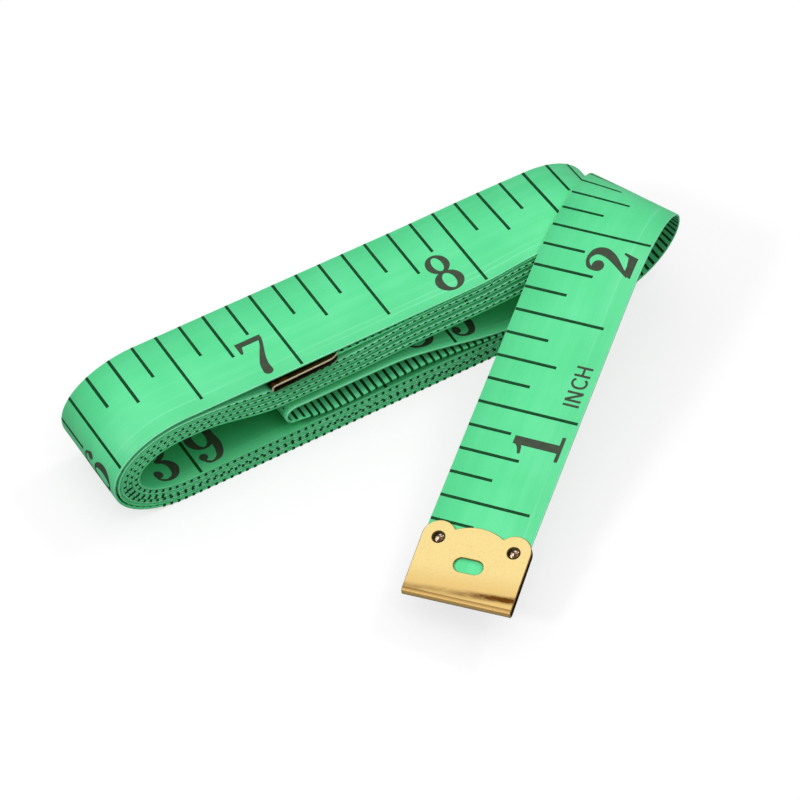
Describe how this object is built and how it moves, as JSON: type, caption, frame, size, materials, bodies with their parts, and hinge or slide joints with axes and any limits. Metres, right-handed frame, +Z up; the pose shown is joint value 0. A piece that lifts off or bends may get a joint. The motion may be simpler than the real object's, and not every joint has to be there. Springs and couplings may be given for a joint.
{
  "type": "cloth tape measure",
  "caption": "Narrow printed tape wound up flat from a fold in its middle, with one end crossing over the winding and a folded sheet-metal clip on each end.",
  "frame": {"origin": "middle of the bounding box's footprint, on the surface the winding lies on", "axes": "+X along the winding towards the loop of the free end, +Y across the tape away from the free end, +Z up"},
  "size_m": [0.078, 0.0521, 0.0169],
  "materials": {
    "coated_cloth": "satin",
    "brass_sheet": "polished",
    "brass_rivet": "polished"
  },
  "bodies": {
    "root": {"tape": "coated_cloth", "front_clip": "brass_sheet", "front_rivet_left": "brass_rivet", "front_rivet_right": "brass_rivet", "rear_clip": "brass_sheet", "rear_rivet_left": "brass_rivet", "rear_rivet_right": "brass_rivet"}
  },
  "joints": []
}
